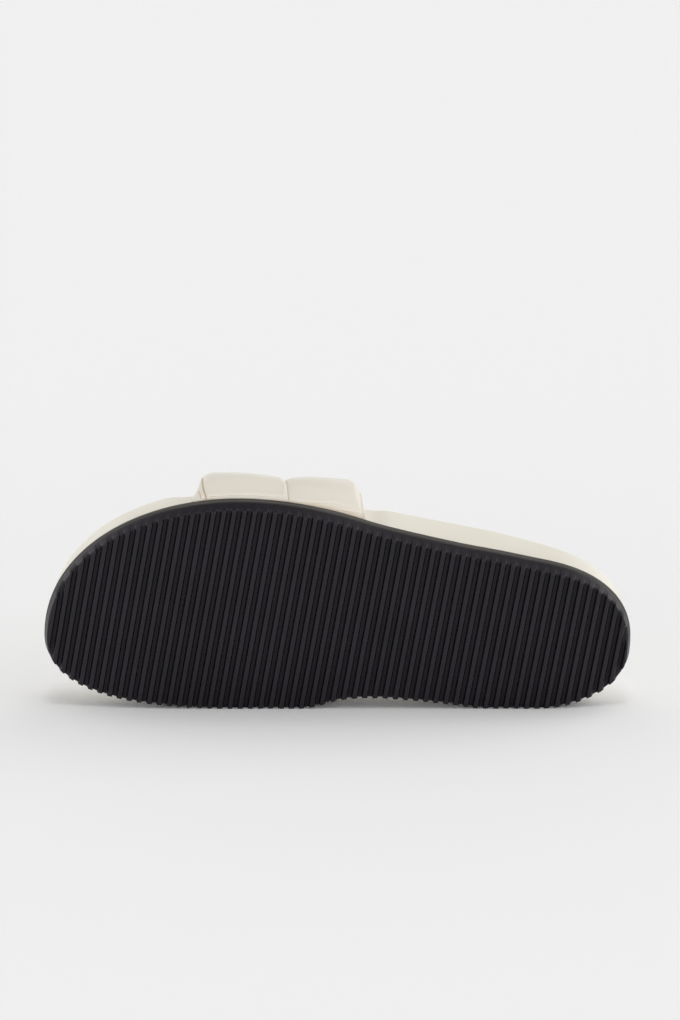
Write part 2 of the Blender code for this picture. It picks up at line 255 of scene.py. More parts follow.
# How full the front and rear channels are, by the share across each from front to rear
PuffRow = namedtuple("PuffRow", "station front rear")
STRAP_PUFF = [
    PuffRow(0.0, 0.75, 0.5),
    PuffRow(0.03, 0.86, 0.62),
    PuffRow(0.07, 0.97, 0.74),
    PuffRow(0.12, 1.03, 0.82),
    PuffRow(0.3, 1.01, 0.95),
    PuffRow(0.5, 0.98, 1.0),
    PuffRow(0.64, 0.92, 1.0),
    PuffRow(0.76, 0.84, 0.96),
    PuffRow(0.86, 0.79, 0.93),
    PuffRow(0.93, 0.75, 0.82),
    PuffRow(0.975, 0.64, 0.55),
    PuffRow(1.0, 0.5, 0.2),
]

# How deep and how wide the sewn lines draw the strap's outside in, in millimetres
SewnRow = namedtuple("SewnRow", "line depth width")
SEWN_LINES = [
    SewnRow("front_seam", 0.66, 0.46),
    SewnRow("seam", 0.38, 0.34),
    SewnRow("rear_seam", 0.12, 0.5),
]

# Creases of the strap's outside, from a low to a high end, in millimetres: up is measured along the arch
# from its base. A ridge has a negative depth
CreaseRow = namedtuple("CreaseRow", "side low_station low_up high_station high_up depth width")
STRAP_CREASES = [
    CreaseRow("lateral", 193.2, 0.5, 193.9, 9.5, 0.46, 0.42),
    CreaseRow("lateral", 192.3, 1.0, 193.1, 9.0, -0.26, 0.42),
    CreaseRow("lateral", 188.6, 1.0, 188.0, 7.0, 0.16, 1.5),
    CreaseRow("lateral", 190.0, 1.6, 158.5, 1.6, 0.3, 0.5),
    CreaseRow("lateral", 190.0, 3.9, 159.0, 3.9, -0.16, 1.1),
    CreaseRow("lateral", 157.2, 3.2, 156.6, 14.0, -0.24, 0.7),
    CreaseRow("lateral", 156.6, 2.6, 151.6, 2.3, 0.25, 0.4),
    CreaseRow("lateral", 155.6, 1.2, 150.4, 0.9, 0.22, 0.35),
    CreaseRow("lateral", 147.0, 0.2, 121.5, 0.6, 0.4, 1.5),
    CreaseRow("lateral", 144.0, 1.4, 133.0, 4.4, 0.2, 0.6),
    CreaseRow("lateral", 138.0, 1.4, 130.0, 3.4, 0.2, 0.45),
    CreaseRow("lateral", 131.0, 1.0, 120.9, 2.8, 0.24, 0.5),
    CreaseRow("lateral", 136.0, 5.6, 124.0, 6.2, -0.14, 1.3),
    CreaseRow("medial", 193.4, 0.5, 194.0, 8.5, 0.3, 0.45),
    CreaseRow("medial", 192.4, 1.0, 193.2, 8.0, -0.2, 0.45),
    CreaseRow("medial", 190.0, 1.6, 158.0, 1.5, 0.2, 0.6),
    CreaseRow("medial", 152.0, 0.4, 121.5, 0.6, 0.3, 1.3),
    CreaseRow("medial", 157.2, 3.2, 156.6, 13.0, -0.2, 0.8),
    CreaseRow("medial", 148.0, 1.6, 139.0, 4.2, 0.22, 0.6),
    CreaseRow("medial", 172.0, 1.8, 165.0, 3.6, 0.2, 0.6),
]

# Puckers that run out of the sewn lines, in millimetres: up is where one starts along the arch, reach is
# its length towards the front (or the rear where negative), and lean how far it climbs on the way
PuckerRow = namedtuple("PuckerRow", "side line up reach lean depth")
PUCKER_WIDTH = 2.1
STRAP_PUCKERS = [
    PuckerRow("lateral", "seam", 30, -8, 1.2, 0.46),
    PuckerRow("lateral", "seam", 38, 7, -1.0, 0.38),
    PuckerRow("lateral", "seam", 49, -10, -1.5, 0.54),
    PuckerRow("lateral", "seam", 57, 9, 1.2, 0.46),
    PuckerRow("lateral", "seam", 68, -7, 1.0, 0.38),
    PuckerRow("lateral", "seam", 77, 8, -1.4, 0.46),
    PuckerRow("lateral", "front_seam", 34, -7, 0.8, 0.42),
    PuckerRow("lateral", "front_seam", 46, -9, -1.2, 0.54),
    PuckerRow("lateral", "front_seam", 59, -6, 1.0, 0.38),
    PuckerRow("lateral", "front_seam", 71, -8, 1.4, 0.5),
    PuckerRow("lateral", "rear_seam", 33, 7, -0.9, 0.36),
    PuckerRow("lateral", "rear_seam", 52, 8, 1.1, 0.42),
    PuckerRow("lateral", "rear_seam", 70, 6, -0.8, 0.36),
    PuckerRow("medial", "seam", 26, 8, 1.0, 0.42),
    PuckerRow("medial", "seam", 35, -9, -1.2, 0.5),
    PuckerRow("medial", "seam", 47, 9, 1.6, 0.5),
    PuckerRow("medial", "seam", 54, -7, -0.8, 0.38),
    PuckerRow("medial", "seam", 66, 8, -1.2, 0.46),
    PuckerRow("medial", "seam", 76, -9, 1.4, 0.5),
    PuckerRow("medial", "front_seam", 30, -8, -1.0, 0.46),
    PuckerRow("medial", "front_seam", 44, -6, 0.8, 0.38),
    PuckerRow("medial", "front_seam", 56, -9, 1.3, 0.54),
    PuckerRow("medial", "front_seam", 73, -7, -1.0, 0.42),
    PuckerRow("medial", "rear_seam", 29, 7, 0.8, 0.38),
    PuckerRow("medial", "rear_seam", 48, 8, -1.2, 0.42),
    PuckerRow("medial", "rear_seam", 64, 6, 1.0, 0.36),
]

# Height of the strap's inside over its bases
CrownRow = namedtuple("CrownRow", "station height")
STRAP_CROWN = [
    CrownRow(120, 63.0),
    CrownRow(158, 54.5),
    CrownRow(200, 45.0),
]


# Shape rules

def smooth_value(rows, column, at, first_slope=0.0):
    """Values of a column at places, on a smooth curve through the rows, level at the last one."""
    places = np.array([row.station for row in rows], float)
    values = np.array([getattr(row, column) for row in rows], float)
    slopes = np.zeros(len(rows))
    slopes[1:-1] = (values[2:] - values[:-2]) / (places[2:] - places[:-2])
    slopes[0] = first_slope
    at = np.clip(np.asarray(at, float), places[0], places[-1])
    i = np.clip(np.searchsorted(places, at, side="right") - 1, 0, len(rows) - 2)
    step = places[i + 1] - places[i]
    t = (at - places[i]) / step
    return (
        values[i] * (1 + 2 * t) * (1 - t) ** 2
        + slopes[i] * step * t * (1 - t) ** 2
        + values[i + 1] * t * t * (3 - 2 * t)
        + slopes[i + 1] * step * t * t * (t - 1)
    )


def read_table(rows, column, station):
    """As smooth_value, with the stations and the values in metres."""
    return smooth_value(rows, column, np.asarray(station) / MM) * MM


def smoothstep(t):
    t = np.clip(t, 0.0, 1.0)
    return t * t * (3 - 2 * t)


def edge(side, station):
    """Distance from the foot's axis to the tread's edge, with an elliptical heel and toe."""
    rows = EDGES[side]
    station = np.asarray(station, float)
    first = rows[0].station * MM
    last = rows[-1].station * MM
    slope = HEEL_NARROWING[side]
    width = smooth_value(rows, "offset", station / MM, slope) * MM - slope * np.maximum(0.0, first - station)
    ends = (
        ((first - station) / first, SIGN[side] * HEEL_TIP_OFFSET, HEEL_POWER[side]),
        ((station - last) / (SOLE_LENGTH - last), SIGN[side] * TOE_TIP_OFFSET, TOE_POWER[side]),
    )
    for share, tip, power in ends:
        closing = (1 - np.clip(share, 0.0, 1.0) ** power) ** (1 / power)
        width = np.where(share > 0, tip + (width - tip) * closing, width)
    return width


def plan_points(side, stations):
    """Upright x and y of the tread's edge at stations."""
    return np.column_stack((SOLE_LENGTH / 2 - stations, SIGN[side] * edge(side, stations)))


def rib_coordinate(points):
    """Distance square to the ribs, counted from the sole's middle towards the toe."""
    return -points[..., 0] * math.cos(RIB_SKEW) - points[..., 1] * math.sin(RIB_SKEW)


def tread_lift(points):
    """How far the tread curves up at the toe and the heel, on bend lines that follow the ribs."""
    station = rib_coordinate(points) + SOLE_LENGTH / 2
    toe = np.maximum(0.0, (station - TOE_SPRING_START) / (SOLE_LENGTH - TOE_SPRING_START))
    heel = np.maximum(0.0, (HEEL_LIFT_END - station) / HEEL_LIFT_END)
    return TOE_SPRING * toe**2 + HEEL_LIFT * heel**2


def outward_of(points):
    """Outward directions of a closed ring of plan points, heel to toe laterally and back medially."""
    along = np.roll(points, -1, axis=0) - np.roll(points, 1, axis=0)
    outward = np.column_stack((-along[:, 1], along[:, 0]))
    return outward / np.linalg.norm(outward, axis=1, keepdims=True)


def outline_ring(steps):
    """The outline as a ring: stations, sides (1 medial, -1 lateral), plan points and outward directions."""
    stations = SOLE_LENGTH * (1 - np.cos(np.linspace(0, math.pi, steps + 1))) / 2
    back = stations[-2:0:-1]
    points = np.vstack((plan_points("lateral", stations), plan_points("medial", back)))
    sides = np.concatenate((np.full(len(stations), -1), np.full(len(back), 1)))
    return np.concatenate((stations, back)), sides, points, outward_of(points)


def distance_to_ring(places, ring):
    """Distances from plan points to a closed ring of plan points."""
    step = np.roll(ring, -1, axis=0) - ring
    away = places[:, None, :] - ring[None, :, :]
    share = np.clip((away * step).sum(axis=2) / (step * step).sum(axis=1), 0.0, 1.0)
    return np.linalg.norm(away - share[..., None] * step, axis=2).min(axis=1)


def by_side(sides, rule, stations):
    """Values of a rule that takes a side's name, around a ring."""
    return np.where(sides > 0, rule("medial", stations), rule("lateral", stations))


def walked_along(line):
    """Lengths along a line of points, from its start to each of them."""
    return np.concatenate(([0.0], np.cumsum(np.linalg.norm(np.diff(line, axis=0), axis=1))))


# Mesh making

class Shell:
    """Points and faces of one piece, gathered grid by grid."""

    def __init__(self):
        self.points = []
        self.faces = []
        self.finishes = []
        self.count = 0

    def add(self, points):
        """Takes an array of points and returns their indices in the same layout."""
        points = np.asarray(points, float)
        found = np.arange(self.count, self.count + points[..., 0].size).reshape(points.shape[:-1])
        self.points.append(points.reshape(-1, 3))
        self.count += found.size
        return found

    def skin(self, grid, closed=False, finish=MAIN_FINISH):
        """Quads between the neighbouring rows of a grid of indices; closed rows join their ends."""
        if closed:
            grid = np.column_stack((grid, grid[:, :1]))
        quads = np.stack((grid[:-1, :-1], grid[:-1, 1:], grid[1:, 1:], grid[1:, :-1]), axis=-1)
        quads = quads.reshape(-1, 4).tolist()
        self.faces += quads
        self.finishes += [finish] * len(quads)

    def face(self, loop):
        """One face of the main finish."""
        self.faces.append([int(i) for i in loop])
        self.finishes.append(MAIN_FINISH)

    def cap(self, ring, shares=(0.0, 1.0), height_of=None):
        """Fills a ring with strips between the points that face each other. height_of gives inner z."""
        half = len(ring) // 2
        points = np.vstack(self.points)
        lateral = ring[1:half]
        medial = ring[:half:-1]
        inner = np.array(shares)[1:-1]
        places = (
            points[lateral][:, None, :] * (1 - inner)[None, :, None]
            + points[medial][:, None, :] * inner[None, :, None]
        )
        if height_of:
            places[..., 2] = height_of(points[lateral], points[medial], inner, places)
        strips = np.column_stack((lateral, self.add(places), medial))
        self.skin(strips)
        for tip, strip in ((ring[0], strips[0]), (ring[half], strips[-1])):
            for pair in zip(strip, strip[1:]):
                self.face((tip, *pair))


def lay_down(points):
    """Upright points where they lie in the frame, with what would sink into the floor pressed flat."""
    turn = np.array(Euler((-LIE_TIP, 0.0, LIE_TURN), "ZYX").to_matrix())
    lying = points @ turn.T + np.array(LIE_PLACE)
    lying[:, 2] = np.maximum(lying[:, 2], 0.0)
    return lying


def make_piece(shell, name, materials, node):
    """An object from a shell, laid on the floor, riding on the body and standing for its CAD node."""
    mesh = bpy.data.meshes.new(name)
    mesh.from_pydata(lay_down(np.vstack(shell.points)).tolist(), [], shell.faces)
    for material in materials:
        mesh.materials.append(material)
    mesh.polygons.foreach_set("material_index", np.array(shell.finishes, np.int32))
    bm = bmesh.new()
    bm.from_mesh(mesh)
    bmesh.ops.recalc_face_normals(bm, faces=bm.faces)
    bm.to_mesh(mesh)
    bm.free()
    mesh.shade_smooth()
    piece = bpy.data.objects.new(name, mesh)
    bpy.context.scene.collection.objects.link(piece)
    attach(piece, "root")
    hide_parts(node)
    return piece


# Outsole

def rounded_corner(before, corner, after):
    """Points of a curve that rounds a corner, from a place on one side of it to a place on the other."""
    t = np.linspace(0, 1, CORNER_STEPS + 1)[:, None]
    return before * (1 - t) ** 2 + corner * 2 * t * (1 - t) + after * t**2


def groove_section():
    """Half a groove from its centre: distances and depths, with rounded corners at floor and mouth."""
    floor = np.array((GROOVE_FLOOR / 2, GROOVE_DEPTH))
    mouth = np.array((GROOVE_MOUTH / 2, 0.0))
    wall = (mouth - floor) / np.linalg.norm(mouth - floor) * RIB_CORNER
    level = np.array((RIB_CORNER, 0.0))
    return np.vstack((
        (0.0, GROOVE_DEPTH),
        rounded_corner(floor - level, floor, floor + wall),
        rounded_corner(mouth - wall, mouth, mouth + level),
        (RIB_PITCH / 2, 0.0),
    ))


def groove_depth(columns):
    """Depth of the tread's section at rib coordinates."""
    section = groove_section()
    off_centre = np.abs((columns - RIB_PHASE) % RIB_PITCH - RIB_PITCH / 2)
    return np.interp(off_centre, section[:, 0], section[:, 1])


def tread_columns(low, high, sides):
    """Rib coordinates from tip to tip: every corner of every groove, and closer where the outline turns."""
    offsets = groove_section()[:, 0]
    first = math.floor((low - RIB_PHASE) / RIB_PITCH) - 1
    last = math.ceil((high - RIB_PHASE) / RIB_PITCH) + 1
    centres = RIB_PHASE + (np.arange(first, last) + 0.5) * RIB_PITCH
    columns = (centres[:, None] + np.concatenate((-offsets, offsets))[None, :]).ravel()
    between = (columns > low + COLUMN_MARGIN) & (columns < high - COLUMN_MARGIN)
    columns = np.unique(np.round(columns[between], COLUMN_DIGITS))
    columns = np.concatenate(([low], columns, [high]))
    filled = []
    for ends in zip(columns, columns[1:]):
        ribs, length = max(sides, key=lambda side: np.ptp(np.interp(ends, *side)))
        walk = np.interp(ends, ribs, length)
        parts = max(1, math.ceil(np.ptp(walk) / COLUMN_STEP))
        filled += list(np.interp(np.linspace(*walk, parts + 1)[:-1], length, ribs))
    return np.array(filled + [high])


def outsole_shell():
    """The ribbed sole: columns across the sole at each corner of the ribs, and up its side."""
    _, _, dense, _ = outline_ring(DENSE_STEPS)
    dense = np.roll(dense, -int(np.argmin(rib_coordinate(dense))), axis=0)
    outward = outward_of(dense)
    toe = int(np.argmax(rib_coordinate(dense)))
    lateral_half = np.arange(toe + 1)
    medial_half = np.concatenate(([0], np.arange(len(dense) - 1, toe - 1, -1)))
    halves = (lateral_half, medial_half)
    sides = []
    for half in halves:
        ribs = np.maximum.accumulate(rib_coordinate(dense[half]) + np.arange(len(half)) * TIE_STEP)
        sides.append((ribs, walked_along(dense[half])))
    low = sides[0][0][0]
    high = min(ribs[-1] for ribs, _ in sides)
    columns = tread_columns(low, high, sides)

    def ring_of(values):
        """Values of the dense outline at the columns, laterally to the toe and back medially."""
        found = []
        for half, (ribs, _) in zip(halves, sides):
            found.append(np.column_stack([np.interp(columns, ribs, line) for line in values[half].T]))
        return np.vstack((found[0], found[1][-2:0:-1]))

    points = ring_of(dense)
    facing = ring_of(outward)
    facing /= np.linalg.norm(facing, axis=1, keepdims=True)
    depth = groove_depth(columns)
    ring_depth = np.concatenate((depth, depth[-2:0:-1]))
    shell = Shell()
    rows = []
    for row in OUTSOLE_SIDE:
        height = row.height * MM
        place = points + facing * row.offset * MM
        lift = tread_lift(place) * (1 - height / OUTSOLE_THICK)
        notch = ring_depth * max(0.0, 1 - height / NOTCH_HEIGHT)
        rows.append(shell.add(np.column_stack((place, height + lift + notch))))
    lip = next(i for i, row in enumerate(OUTSOLE_SIDE) if row.height > LIP_START) - 1
    shell.skin(np.array(rows[: lip + 1]), closed=True)
    # The lip's rows take the lighter finish, a painted highlight
    shell.skin(np.array(rows[lip:]), closed=True, finish=LIP_HIGHLIGHT_FINISH)

    def tread(lateral, medial, shares, places):
        return tread_lift(places) + depth[1:-1, None]

    tread_start = len(shell.faces)
    shell.cap(rows[0], TREAD_SHARES, tread)
    # Faces down in the grooves take the darker finish, painted shade
    placed = np.vstack(shell.points)
    for i in range(tread_start, len(shell.faces)):
        middle = placed[shell.faces[i]].mean(axis=0)
        if middle[2] - tread_lift(middle) > GROOVE_SHADE_START:
            shell.finishes[i] = GROOVE_SHADE_FINISH
    shell.cap(rows[-1])
    return shell


# Footbed and sock

def rim_height(side, station):
    return OUTSOLE_THICK + read_table(RIM, side, station)


def strap_recess(side, station):
    """How far the footbed's wall is drawn in under the strap, fading out past both strap edges."""
    advance = STRAP_MEDIAL_ADVANCE if side == "medial" else 0.0
    past_rear = STRAP_LINES[0].rear * MM + advance - station
    past_front = station - STRAP_LINES[0].front * MM - advance
    fade = (np.maximum(past_rear, past_front) - STRAP_RECESS_MARGIN) / STRAP_RECESS_FADE
    return STRAP_RECESS * (1 - smoothstep(fade))


def wrap_section(rim):
    """Heights and insets of the footbed's section, from the tucked lower edge to the bed's border."""
    bottom = OUTSOLE_THICK + PIECE_GAP
    for row in FOOTBED_TUCK:
        yield np.full_like(rim, bottom + row.height * MM), row.inset * MM
    start = bottom + FOOTBED_TUCK[-1].height * MM
    for share in np.linspace(0, 1, WALL_STEPS + 1)[1:-1]:
        height = start + (rim - RIM_ROUND - start) * share
        yield height, WALL_LEAN * share - WALL_BULGE * 4 * share * (1 - share)
    for turn in np.linspace(0, math.pi / 2, RIM_STEPS + 1):
        yield rim - RIM_ROUND * (1 - math.sin(turn)), WALL_LEAN + RIM_ROUND * (1 - math.cos(turn))
    for share in np.linspace(0, 1, RIM_INNER_STEPS + 1)[1:]:
        reach = RIM_ROUND + (RIM_INNER_REACH - RIM_ROUND) * share
        yield rim - RIM_INNER_DROP * share**2, WALL_LEAN + reach


def wave(points, length):
    """Soft unevenness of a surface, from -1 to 1, that varies over a length."""
    return np.array([noise.noise(Vector(point) / length) for point in points])


def footbed_shell():
    """The moulded bed in its wrap: wall, rounded rim and dished top. Returns it and its top's faces."""
    stations, sides, points, outward = outline_ring(OUTLINE_STEPS)
    rim = by_side(sides, rim_height, stations)
    recess = by_side(sides, strap_recess, stations)
    shell = Shell()
    rows = []
    for height, inset in wrap_section(rim):
        place = points - outward * (inset + recess)[:, None]
        raised = np.column_stack((place, height))
        rise = np.minimum(1.0, (height - OUTSOLE_THICK) / WRAP_WAVE_RISE)
        uneven = WRAP_WAVE * wave(raised, WRAP_WAVE_LENGTH) * rise
        raised[:, :2] += outward * uneven[:, None]
        rows.append(shell.add(raised))
    shell.skin(np.array(rows), closed=True)
    low = OUTSOLE_THICK + read_table(RIM, "bed", stations[1:OUTLINE_STEPS])[:, None]
    rim_foot = np.vstack(shell.points)[rows[-1]][:, :2]

    def dished(lateral, medial, shares, places):
        border = np.where(shares[None, :] < 0.5, lateral[:, 2:], medial[:, 2:])
        half = np.linalg.norm(lateral - medial, axis=1)[:, None] / 2
        off = distance_to_ring(places[..., :2].reshape(-1, 2), rim_foot).reshape(border.shape)
        dish = np.clip(1 - off / np.maximum(half, BED_DISH_REACH), 0.0, 1.0) ** BED_DISH_POWER
        return low + (border - low) * dish

    bed_start = len(shell.faces)
    shell.cap(rows[-1], np.linspace(0, 1, BED_STEPS + 1), dished)
    bed_faces = shell.faces[bed_start:]
    shell.cap(rows[0])
    return shell, bed_faces


def sock_shell(bed_points, bed_faces):
    """The sock: a thin sheet with a rounded edge, lying on the bed inside its rim."""
    bed = BVHTree.FromPolygons(bed_points.tolist(), bed_faces)
    down = Vector((0, 0, -1))

    def underside(places):
        """Heights of the sock's underside over plan points, which are dropped on the bed."""
        hits = [bed.ray_cast(Vector((x, y, SOCK_DROP_HEIGHT)), down)[0] for x, y in places]
        return np.array([hit.z for hit in hits]) + PIECE_GAP

    def level(up):
        """A rule for the inner heights of a face of the sock, at a height over its underside."""
        def inner_heights(lateral, medial, shares, places):
            flat = places[..., :2].reshape(-1, 2)
            return underside(flat).reshape(places.shape[:2]) + up

        return inner_heights

    _, _, points, outward = outline_ring(OUTLINE_STEPS)
    border = WALL_LEAN + RIM_INNER_REACH + SOCK_MARGIN
    shell = Shell()
    rings = []
    for row in SOCK_EDGE:
        place = points - outward * (border + row.inset * MM)
        rings.append(shell.add(np.column_stack((place, underside(place) + row.height * MM))))
    shell.skin(np.array(rings), closed=True)
    for end in (-1, 0):
        shell.cap(rings[end], np.linspace(0, 1, SOCK_STEPS + 1), level(SOCK_EDGE[end].height * MM))
    return shell


# Strap

def strap_chord(side, station):
    """Offsets on the straight line between the outline's points at the strap's rear and front."""
    advance = STRAP_MEDIAL_ADVANCE if side == "medial" else 0.0
    rear = STRAP_LINES[0].rear * MM + advance
    front = STRAP_LINES[0].front * MM + advance
    share = (station - rear) / (front - rear)
    return edge(side, rear) * (1 - share) + edge(side, front) * share


def strap_arch(sign, station, rise):
    """Inside points and outward directions of the strap's arch; rise is 0 at a base, 1 at the crown."""
    side = "medial" if sign > 0 else "lateral"
    height = read_table(STRAP_CROWN, "height", station)
    power = ARCH_POWER[side]
    angle = rise * math.pi / 2
    out = max(0.0, math.cos(angle)) ** (2 / power)
    up = math.sin(angle) ** (2 / power)
    straight = smoothstep((height * up - STRAP_STRAIGHT_START) / STRAP_STRAIGHT_RISE)
    along = edge(side, station)
    width = along + (strap_chord(side, station) - along) * straight - STRAP_RECESS + STRAP_SEAT_GAP
    base = OUTSOLE_THICK + PIECE_GAP
    place = np.column_stack((SOLE_LENGTH / 2 - station, sign * width * out, base + height * up))
    outward = np.column_stack((
        np.zeros_like(station),
        sign * out ** (power - 1) / width,
        up ** (power - 1) / height,
    ))
    return place, outward / np.linalg.norm(outward, axis=1, keepdims=True)


def side_and_rise(way):
    """The sign of the side that a way along the arch is on, and its share from that base to the crown."""
    return -1 if way <= 0.5 else 1, 1 - abs(2 * way - 1)


def arch_ways():
    """Ways along the arch, 0 at the lateral base and 1 at the medial one, and their lengths from a base."""
    dense = np.linspace(0, 1, ARCH_DENSE_STEPS + 1)
    middle = np.array([STRAP_LINES[2].seam * MM])
    line = []
    for way in dense:
        sign, rise = side_and_rise(way)
        line.append(strap_arch(sign, middle, rise)[0])
    walked = walked_along(np.vstack(line))
    whole = walked[-1]
    near = np.arange(0, BASE_REACH, BASE_STEP)
    middle_steps = math.ceil((whole - 2 * BASE_REACH) / ARCH_STEP)
    far = np.linspace(BASE_REACH, whole - BASE_REACH, middle_steps + 1)
    places = np.concatenate((near, far, whole - near[::-1]))
    return np.interp(places, walked, dense), np.minimum(places, whole - places)


def crease_depth(sign, stations, up, lines):
    """How far the sewn lines and the creases draw the strap's outside in, at stations of one section."""
    drawn = np.zeros_like(stations)
    for row in SEWN_LINES:
        drawn += row.depth * MM * np.exp(-(((stations - lines[row.line]) / (row.width * MM)) ** 2))
    place = np.column_stack((stations, np.full(len(stations), up))) / MM
    for row in STRAP_CREASES:
        if SIGN[row.side] == sign:
            low = np.array((row.low_station, row.low_up))
            span = np.array((row.high_station, row.high_up)) - low
            share = np.clip((place - low) @ span / (span @ span), 0, 1)
            off = np.linalg.norm(place - low - share[:, None] * span, axis=1)
            drawn += row.depth * MM * np.exp(-((off / row.width) ** 2))
    return drawn


def pucker_depth(sign, stations, up, lines):
    """How far the puckers draw the strap's outside in, at stations of one section."""
    drawn = np.zeros_like(stations)
    for row in STRAP_PUCKERS:
        if SIGN[row.side] == sign:
            along = (stations - lines[row.line]) / MM
            share = np.clip(along / row.reach, 0, 1)
            off = np.hypot(along - share * row.reach, up / MM - row.up - share * row.lean)
            drawn += row.depth * MM * (1 - share) * np.exp(-((off / PUCKER_WIDTH) ** 2))
    return drawn


def strap_section(way, up):
    """A closed section of the strap, puffed between the sewn lines: outside, rear edge, lining, front edge.

    Returns its points, and how far the sewn lines and creases draw each of them in.
    """
    sign, rise = side_and_rise(way)
    advance = STRAP_MEDIAL_ADVANCE * way
    lines = {name: float(smooth_value(STRAP_LINES, name, rise)) * MM for name in StrapRow._fields[1:]}
    front, front_seam, seam, rear_seam, rear = lines.values()
    shares = (1 - np.cos(np.linspace(0, math.pi, PUFF_STEPS + 1))) / 2
    swell = np.concatenate((
        np.full(HEM_STEPS, STRAP_PUFF[0].front),
        smooth_value(STRAP_PUFF, "front", shares),
        smooth_value(STRAP_PUFF, "rear", shares)[1:],
        np.full(REAR_STEPS, STRAP_PUFF[-1].rear),
    ))

    def skin_points(stations, thickness):
        place, outward = strap_arch(sign, stations + advance, rise)
        return place + outward * thickness[:, None]

    def pad_at(stations):
        climb = strap_arch(sign, stations + advance, rise)[0][:, 2] - OUTSOLE_THICK
        return (STRAP_PAD_THICK - STRAP_EDGE_THICK) * smoothstep(climb / STRAP_PAD_RISE)

    front_half, rear_half = (STRAP_EDGE_THICK + swell[[0, -1]] * pad_at(np.array([front, rear]))) / 2
    front_round = min(STRAP_ROUND * front_half, STRAP_FRONT_ROUND_MOST * (front - front_seam))
    rear_round = min(STRAP_ROUND * rear_half, STRAP_REAR_ROUND_MOST * (rear_seam - rear))
    flat = np.concatenate((
        np.linspace(front - front_round, front_seam, HEM_STEPS + 1)[:-1],
        front_seam + (seam - front_seam) * shares,
        seam + (rear_seam - seam) * shares[1:],
        np.linspace(rear_seam, rear + rear_round, REAR_STEPS + 1)[1:],
    ))
    arc = np.linspace(math.pi / 2, -math.pi / 2, EDGE_STEPS + 1)[1:-1]
    lining = np.linspace(flat[-1], flat[0], LINING_STEPS + 1)
    drawn = crease_depth(sign, flat, up, lines)
    thickness = STRAP_EDGE_THICK + pad_at(flat) * swell - drawn - pucker_depth(sign, flat, up, lines)
    points = np.vstack((
        skin_points(flat, thickness),
        skin_points(rear + rear_round * (1 - np.cos(arc)), rear_half * (1 + np.sin(arc))),
        skin_points(lining, np.zeros(len(lining))),
        skin_points(front - front_round * (1 - np.cos(arc)), front_half * (1 - np.sin(arc))),
    ))
    return points, np.concatenate((drawn, np.zeros(len(points) - len(drawn))))


def strap_shell():
    """The padded strap, in sections along its arch. Returns it and how far each point is drawn in."""
    sections, drawn_in = zip(*[strap_section(way, up) for way, up in zip(*arch_ways())])
    shell = Shell()
    grid = shell.add(np.array(sections))
    lining_start = HEM_STEPS + 2 * PUFF_STEPS + REAR_STEPS + EDGE_STEPS
    lining_end = lining_start + LINING_STEPS
    shell.skin(grid[:, : lining_start + 1])
    shell.skin(grid[:, lining_start : lining_end + 1], finish=LINING_FINISH)
    shell.skin(np.column_stack((grid[:, lining_end:], grid[:, :1])))
    shell.face(grid[0])
    shell.face(grid[-1])
    return shell, np.concatenate(drawn_in)


# Materials: a surface's tone and gloss vary in soft clouds, between two tones and two roughnesses

RubberRow = namedtuple("RubberRow", "name dark light shine")
OUTSOLE_RUBBERS = [
    RubberRow("black_rubber_detail", (0.0072, 0.0052, 0.0088), (0.0105, 0.0078, 0.0125), 0.3),
    # The lip's lighter, glossier tone is a painted highlight
    RubberRow("rubber_lip_painted_highlight", (0.05, 0.045, 0.04), (0.072, 0.065, 0.057), 0.36),
    # The grooves' darker, duller tone is painted shade
    RubberRow("rubber_groove_painted_shade", (0.0062, 0.0045, 0.0074), (0.009, 0.0066, 0.0104), 0.22),
]
RUBBER_CLOUDS_PER_METRE = 45.0
RUBBER_ROUGHNESS = (0.36, 0.46)
RUBBER_TEXTURE_PER_METRE = 2600.0
RUBBER_TEXTURE_DEPTH = 0.1 * MM

# Grain sizes and depths are in millimetres. The warp bends the grain, and the pores are finer than it
LeatherRow = namedtuple("LeatherRow", "name dark light roughness grain_size grain_depth")
WRAP = LeatherRow("cream_wrap_detail", (0.789, 0.747, 0.649), (0.831, 0.789, 0.69), 0.42, 0.55, 0.06)
PADDING = LeatherRow("cream_padding_detail", (0.75, 0.703, 0.612), (0.79, 0.743, 0.652), 0.4, 0.6, 0.07)
SOCK = LeatherRow("cream_sock_detail", (0.69, 0.65, 0.57), (0.73, 0.69, 0.61), 0.6, 0.4, 0.04)
LINING = LeatherRow("cream_lining_detail", (0.68, 0.64, 0.56), (0.72, 0.68, 0.6), 0.7, 0.35, 0.04)
LEATHER_CLOUDS_PER_METRE = 28.0
LEATHER_SMOOTHER = 0.05
LEATHER_ROUGHER = 0.06
WARPS_PER_GRAIN = 0.4
WARP_REACH_IN_GRAINS = 0.7
PORES_PER_GRAIN = 2.6

# The padding's painted shade where it is drawn in, a darker tan tone which starts and is full at these
# depths
CREASE_NAME = "crease_depth"
CREASE_SHADE_TONE = (0.62, 0.52, 0.39)
CREASE_SHADE_START = 0.12 * MM
CREASE_SHADE_FULL = 0.6 * MM


def node_adder(tree):
    """A function that adds a node to a tree, with values or links for its inputs."""
    def add(kind, inputs=None, **settings):
        made = tree.nodes.new(kind)
        for key, value in settings.items():
            setattr(made, key, value)
        for key, value in (inputs or {}).items():
            if isinstance(value, bpy.types.NodeSocket):
                tree.links.new(value, made.inputs[key])
            else:
                made.inputs[key].default_value = value
        return made

    return add


def new_material(name):
    """A material with its shader, and functions that add a node and a link."""
    material = bpy.data.materials.new(name)
    material.use_nodes = True
    tree = material.node_tree
    return material, tree.nodes["Principled BSDF"], node_adder(tree), tree.links.new


def tone_range(add, value, dark, light):
    """A colour between two tones, by a value from a noise, whose ends are rare."""
    ramp = add("ShaderNodeValToRGB", {"Fac": value})
    for element, position, tone in zip(ramp.color_ramp.elements, (0.3, 0.7), (dark, light)):
        element.position = position
        element.color = (*tone, 1.0)
    return ramp.outputs["Color"]


